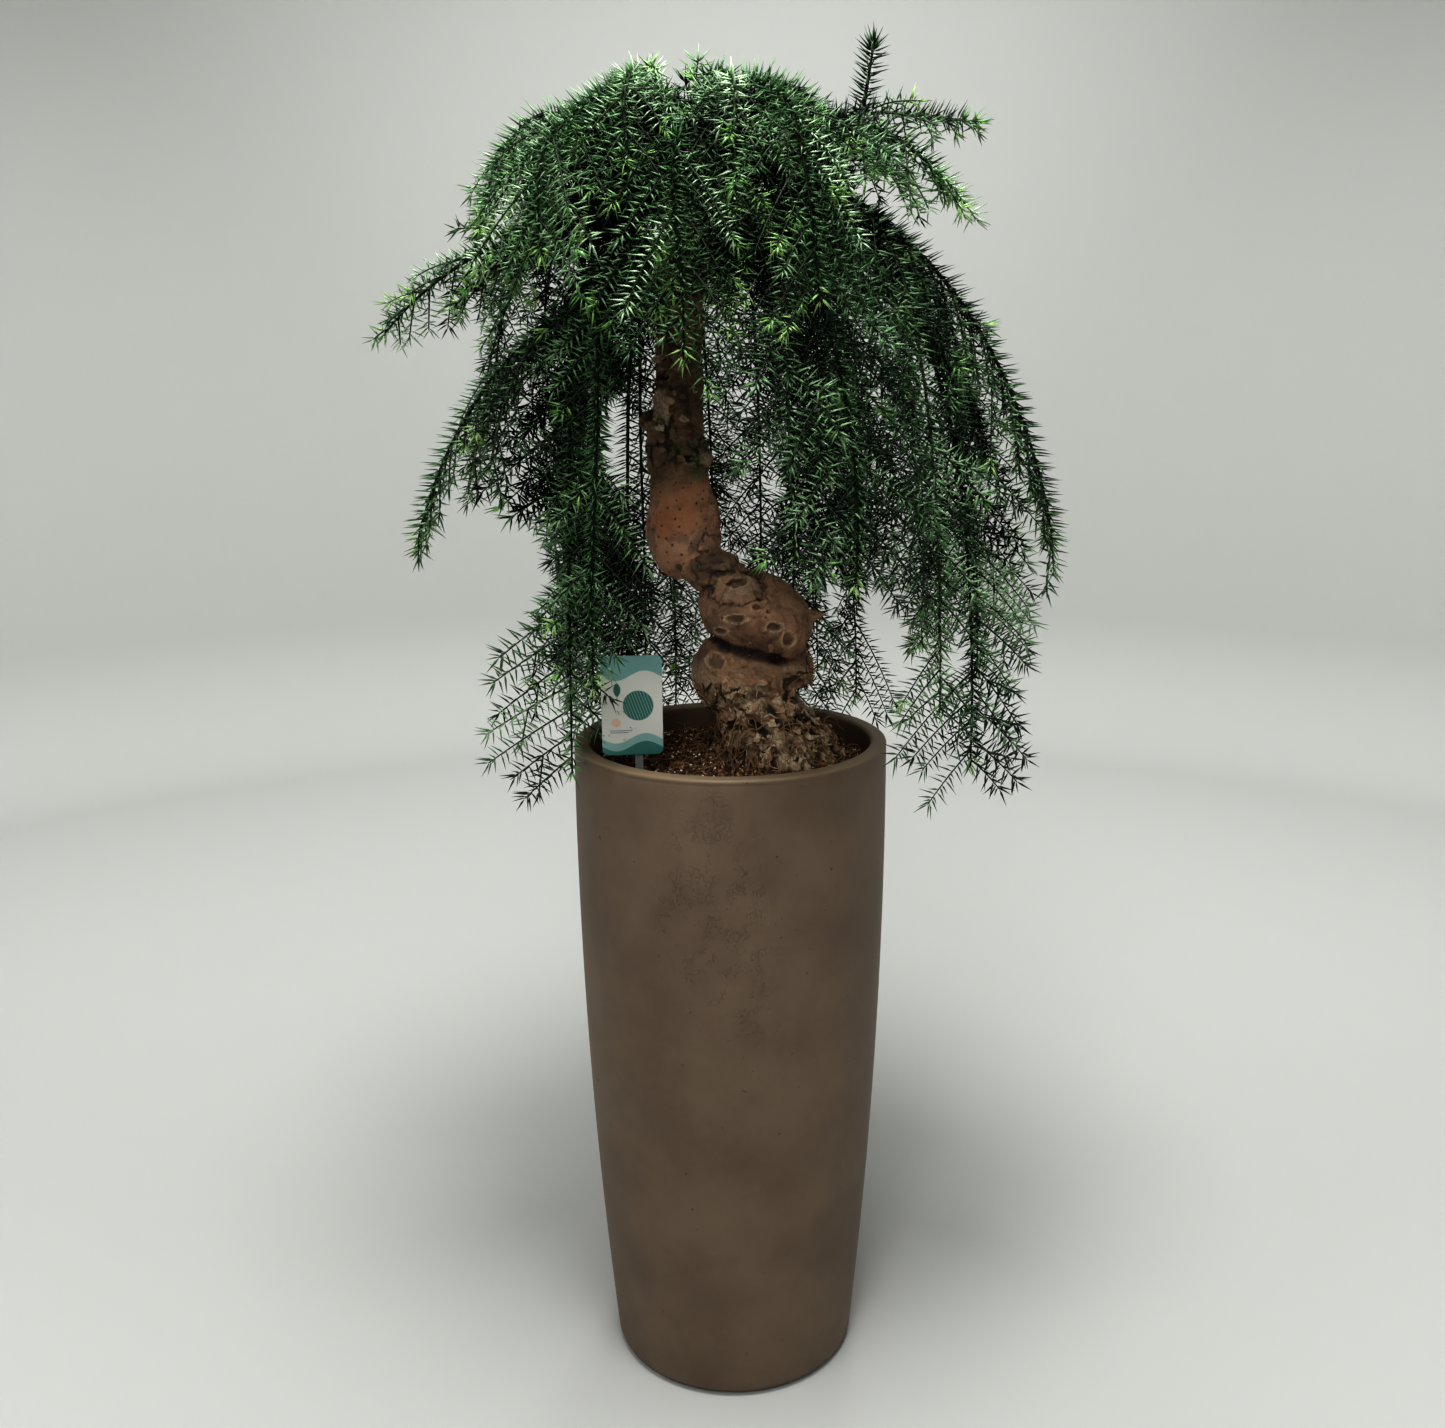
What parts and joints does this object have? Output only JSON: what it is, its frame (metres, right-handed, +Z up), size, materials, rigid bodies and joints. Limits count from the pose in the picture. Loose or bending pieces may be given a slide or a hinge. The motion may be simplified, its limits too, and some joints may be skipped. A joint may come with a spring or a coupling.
{
  "type": "potted hoop pine",
  "caption": "Weeping hoop pine with a knotted, leaning trunk and hanging fronds of needles, in a tall round planter with a plain label.",
  "frame": {"origin": "centre of the planter's flat underside, on the floor", "axes": "+Z up, from the floor to the top of the crown; the side the picture shows faces -Y; +X is to the right in the picture"},
  "size_m": [0.6887, 0.5266, 1.3763],
  "materials": {
    "pot": "taupe moulded stone-composite plastic, matte",
    "soil": "dark bark and peat potting mix",
    "bark": "orange-brown bark, scarred and flaking",
    "twig_bark": "brown twig bark",
    "needles_deep": "dark green awl-shaped needles",
    "needles_mid": "mid green awl-shaped needles",
    "needles_light": "fresh green awl-shaped needles",
    "card": "printed card, satin",
    "stake": "grey-clear plastic stake"
  },
  "bodies": {
    "root": {"back_crest_bough": "twig_bark", "back_crest_needles": "needles_deep", "back_fan_bough": "twig_bark", "back_fan_needles": "needles_mid", "back_left_arch_bough": "twig_bark", "back_left_arch_needles": "needles_light", "back_left_crest_bough": "twig_bark", "back_left_crest_needles": "needles_deep", "back_left_fan_bough": "twig_bark", "back_left_fan_needles": "needles_mid", "back_right_arch_bough": "twig_bark", "back_right_arch_needles": "needles_light", "back_right_fan_bough": "twig_bark", "back_right_fan_needles": "needles_deep", "crown_tip_needles": "needles_mid", "front_crest_bough": "twig_bark", "front_crest_needles": "needles_light", "front_left_crest_bough": "twig_bark", "front_left_crest_needles": "needles_deep", "front_left_fan_bough": "twig_bark", "front_left_fan_needles": "needles_mid", "front_right_crest_bough": "twig_bark", "front_right_crest_needles": "needles_light", "front_right_fan_bough": "twig_bark", "front_right_fan_needles": "needles_deep", "label_card": "card", "label_stake": "stake", "left_arch_bough": "twig_bark", "left_arch_needles": "needles_mid", "left_back_fan_bough": "twig_bark", "left_back_fan_needles": "needles_light", "left_crest_bough": "twig_bark", "left_crest_needles": "needles_deep", "left_fan_bough": "twig_bark", "left_fan_needles": "needles_mid", "left_spear_bough": "twig_bark", "left_spear_needles": "needles_light", "left_top_bough": "twig_bark", "left_top_needles": "needles_deep", "pot": "pot", "right_arch_bough": "twig_bark", "right_arch_needles": "needles_mid", "right_back_fan_bough": "twig_bark", "right_back_fan_needles": "needles_light", "right_crest_bough": "twig_bark", "right_crest_needles": "needles_deep", "right_front_fan_bough": "twig_bark", "right_front_fan_needles": "needles_mid", "right_top_bough": "twig_bark", "right_top_needles": "needles_light", "soil": "soil", "top_right_bough": "twig_bark", "top_right_needles": "needles_deep", "trunk": "bark"}
  },
  "joints": []
}
